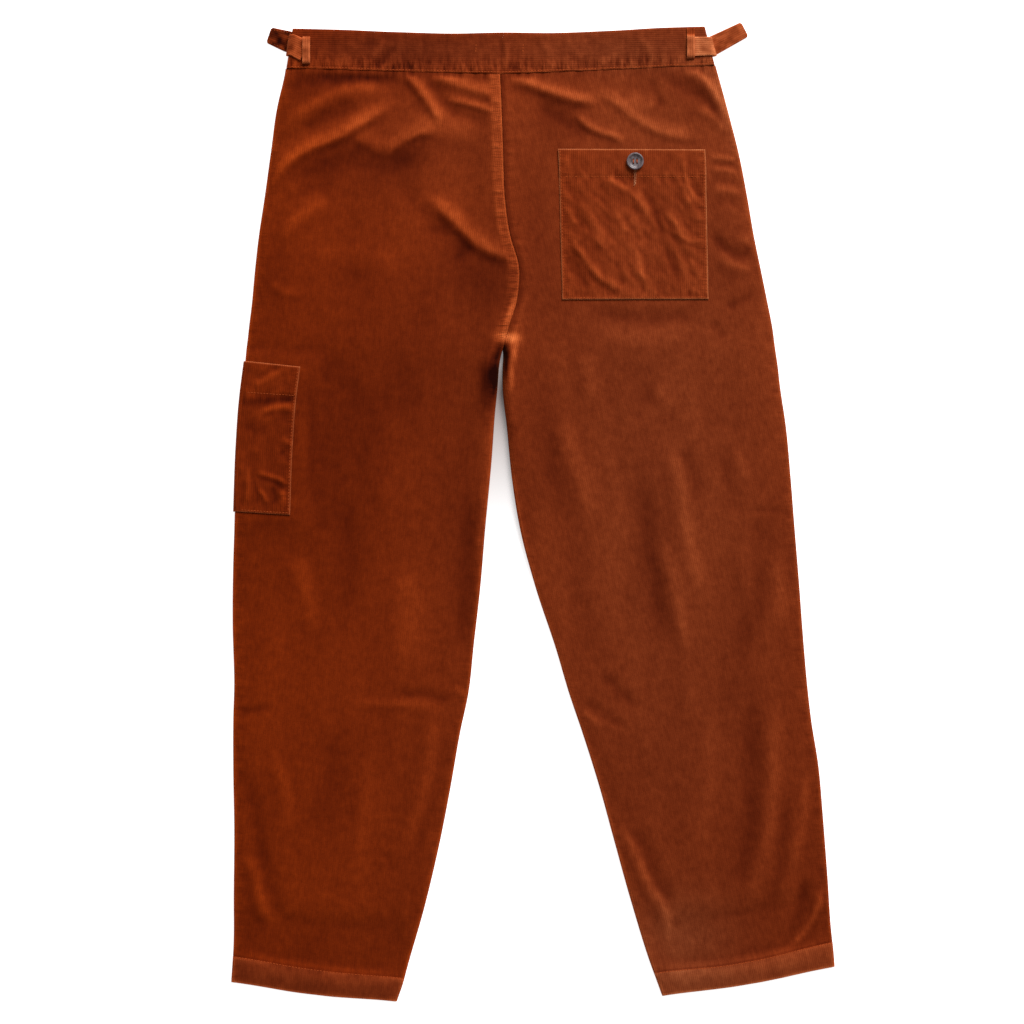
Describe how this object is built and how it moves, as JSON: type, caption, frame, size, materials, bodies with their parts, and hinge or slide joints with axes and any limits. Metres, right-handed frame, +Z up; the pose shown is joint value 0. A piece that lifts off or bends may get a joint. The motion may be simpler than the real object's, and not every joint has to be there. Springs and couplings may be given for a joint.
{
  "type": "judo pants",
  "caption": "Wide tapered corduroy trousers with waist adjuster straps, a buttoned back pocket and a thigh pocket, laid flat with the back up.",
  "frame": {"origin": "middle of the outline, on the surface that the garment lies on", "axes": "+Y towards the waist, +X to the right with the back up, +Z up out of the back"},
  "size_m": [0.6282, 1.0188, 0.0141],
  "materials": {
    "corduroy": "rust brown cotton corduroy, ribbed pile with a soft sheen",
    "strap_corduroy": "the same corduroy, paler where the light catches the straps",
    "button": "dark grey brown button with a raised rim, satin gloss"
  },
  "bodies": {
    "root": {"back_left": "corduroy", "back_right": "corduroy", "front_left": "corduroy", "front_right": "corduroy", "waistband_back_left": "corduroy", "waistband_back_right": "corduroy", "waistband_front": "corduroy", "back_pocket": "corduroy", "thigh_pocket": "corduroy", "strap_left": "strap_corduroy", "strap_right": "strap_corduroy", "keeper_left": "strap_corduroy", "keeper_right": "strap_corduroy", "button": "button"}
  },
  "joints": []
}
